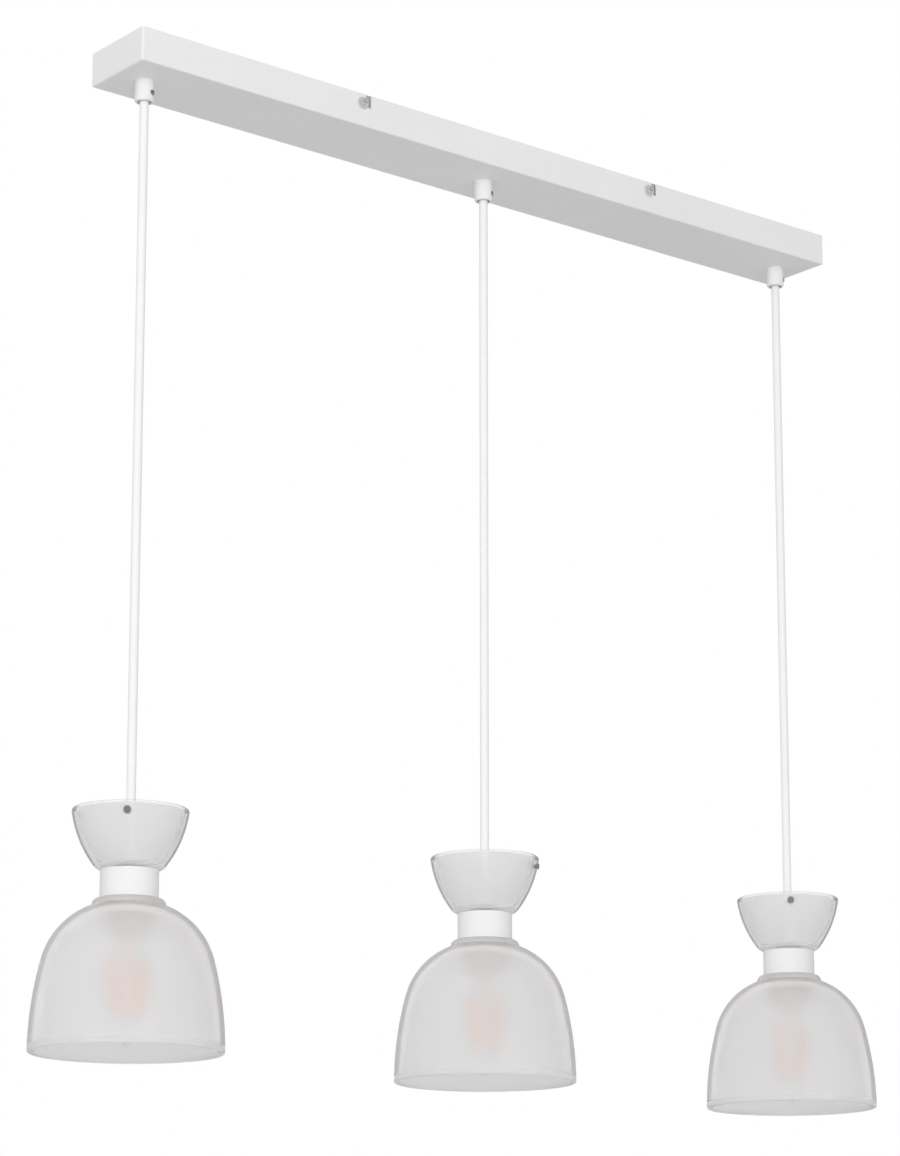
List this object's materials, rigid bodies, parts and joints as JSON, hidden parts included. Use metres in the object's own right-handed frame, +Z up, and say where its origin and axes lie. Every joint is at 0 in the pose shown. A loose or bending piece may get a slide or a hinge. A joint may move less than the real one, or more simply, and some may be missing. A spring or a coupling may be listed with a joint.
{
  "type": "linear island pendant",
  "caption": "Long slim canopy with glass heads on straight cords in a row: an open cup over a frosted bell, each joined by a short collar.",
  "frame": {"origin": "in the ceiling plane, on the top face of the ceiling bracket, over the canopy's middle", "axes": "+X along the canopy, -Y towards the side the picture shows, +Z up into the ceiling"},
  "size_m": [0.6984, 0.1224, 0.6614],
  "materials": {
    "canopy_paint": "matt white powder coat",
    "collar_paint": "satin white lacquer",
    "zinc": "zinc plated",
    "screw_steel": "nickel plated",
    "block_plastic": "moulded, translucent white",
    "core_sheath": "smooth insulation in core colours",
    "cord_sheath": "smooth white sheath",
    "grip_plastic": "moulded white",
    "holder_plastic": "moulded white thermoplastic",
    "cup_glass": "satin inside, fire-polished clear outside",
    "bell_glass": "satin-etched inside, smooth outside",
    "lamp_glass": "clear",
    "brass": "pressed, bare",
    "cap_metal": "rolled screw cap",
    "filament": "phosphor-coated filaments"
  },
  "bodies": {
    "bracket": {"ceiling_bracket": "zinc", "cover_screws": "screw_steel"},
    "canopy": {"canopy_cover": "canopy_paint", "terminal_block": "block_plastic", "block_nut": "zinc", "core_wires": "core_sheath", "gland_nuts": "zinc", "gland_screws": "screw_steel", "cord_tails": "cord_sheath", "cord_gland_1": "grip_plastic", "cord_gland_2": "grip_plastic", "cord_gland_3": "grip_plastic"},
    "bend_1": {"cord_bend_1": "cord_sheath"},
    "drop_1": {"cord_1": "cord_sheath"},
    "end_1": {"cord_end_1": "cord_sheath"},
    "head_1": {"inner_grip_1": "grip_plastic", "nipple_1": "zinc", "cup_glass_1": "cup_glass", "cup_screw_1": "screw_steel", "collar_1": "collar_paint", "lampholder_1": "holder_plastic", "contacts_1": "brass", "shade_ring_1": "holder_plastic", "bell_glass_1": "bell_glass"},
    "lamp_1": {"lamp_glass_1": "lamp_glass", "lamp_cap_1": "cap_metal", "lamp_filaments_1": "filament"},
    "bend_2": {"cord_bend_2": "cord_sheath"},
    "drop_2": {"cord_2": "cord_sheath"},
    "end_2": {"cord_end_2": "cord_sheath"},
    "head_2": {"inner_grip_2": "grip_plastic", "nipple_2": "zinc", "cup_glass_2": "cup_glass", "cup_screw_2": "screw_steel", "collar_2": "collar_paint", "lampholder_2": "holder_plastic", "contacts_2": "brass", "shade_ring_2": "holder_plastic", "bell_glass_2": "bell_glass"},
    "lamp_2": {"lamp_glass_2": "lamp_glass", "lamp_cap_2": "cap_metal", "lamp_filaments_2": "filament"},
    "bend_3": {"cord_bend_3": "cord_sheath"},
    "drop_3": {"cord_3": "cord_sheath"},
    "end_3": {"cord_end_3": "cord_sheath"},
    "head_3": {"inner_grip_3": "grip_plastic", "nipple_3": "zinc", "cup_glass_3": "cup_glass", "cup_screw_3": "screw_steel", "collar_3": "collar_paint", "lampholder_3": "holder_plastic", "contacts_3": "brass", "shade_ring_3": "holder_plastic", "bell_glass_3": "bell_glass"},
    "lamp_3": {"lamp_glass_3": "lamp_glass", "lamp_cap_3": "cap_metal", "lamp_filaments_3": "filament"}
  },
  "joints": [
    {"name": "canopy_shift", "type": "slide", "parent": "bracket", "child": "canopy", "axis": [-1, 0, 0], "range_m": [0, 0.0052]},
    {"name": "swing_1", "type": "hinge", "parent": "canopy", "child": "bend_1", "pos_m": [-0.288, 0, -0.0369], "axis": [1, 0, 0], "range_deg": [-25, 25]},
    {"name": "sway_1", "type": "hinge", "parent": "bend_1", "child": "drop_1", "pos_m": [-0.288, 0, -0.0369], "axis": [0, 1, 0], "range_deg": [-7, 25]},
    {"name": "height_1", "type": "slide", "parent": "drop_1", "child": "end_1", "axis": [0, 0, 1], "range_m": [0, 0.3], "deforming": ["cord_1"]},
    {"name": "twist_1", "type": "hinge", "parent": "end_1", "child": "head_1", "pos_m": [-0.288, 0, -0.5468], "axis": [0, 0, 1], "range_deg": [-90, 90]},
    {"name": "lamp_out_1", "type": "slide", "parent": "head_1", "child": "lamp_1", "axis": [0, 0, -1], "range_m": [0, 0.03]},
    {"name": "swing_2", "type": "hinge", "parent": "canopy", "child": "bend_2", "pos_m": [0, 0, -0.0369], "axis": [1, 0, 0], "range_deg": [-25, 25]},
    {"name": "sway_2", "type": "hinge", "parent": "bend_2", "child": "drop_2", "pos_m": [0, 0, -0.0369], "axis": [0, 1, 0], "range_deg": [-7, 7]},
    {"name": "height_2", "type": "slide", "parent": "drop_2", "child": "end_2", "axis": [0, 0, 1], "range_m": [0, 0.3], "deforming": ["cord_2"]},
    {"name": "twist_2", "type": "hinge", "parent": "end_2", "child": "head_2", "pos_m": [0, 0, -0.5468], "axis": [0, 0, 1], "range_deg": [-90, 90]},
    {"name": "lamp_out_2", "type": "slide", "parent": "head_2", "child": "lamp_2", "axis": [0, 0, -1], "range_m": [0, 0.03]},
    {"name": "swing_3", "type": "hinge", "parent": "canopy", "child": "bend_3", "pos_m": [0.288, 0, -0.0369], "axis": [1, 0, 0], "range_deg": [-25, 25]},
    {"name": "sway_3", "type": "hinge", "parent": "bend_3", "child": "drop_3", "pos_m": [0.288, 0, -0.0369], "axis": [0, 1, 0], "range_deg": [-25, 7]},
    {"name": "height_3", "type": "slide", "parent": "drop_3", "child": "end_3", "axis": [0, 0, 1], "range_m": [0, 0.3], "deforming": ["cord_3"]},
    {"name": "twist_3", "type": "hinge", "parent": "end_3", "child": "head_3", "pos_m": [0.288, 0, -0.5468], "axis": [0, 0, 1], "range_deg": [-90, 90]},
    {"name": "lamp_out_3", "type": "slide", "parent": "head_3", "child": "lamp_3", "axis": [0, 0, -1], "range_m": [0, 0.03]}
  ]
}
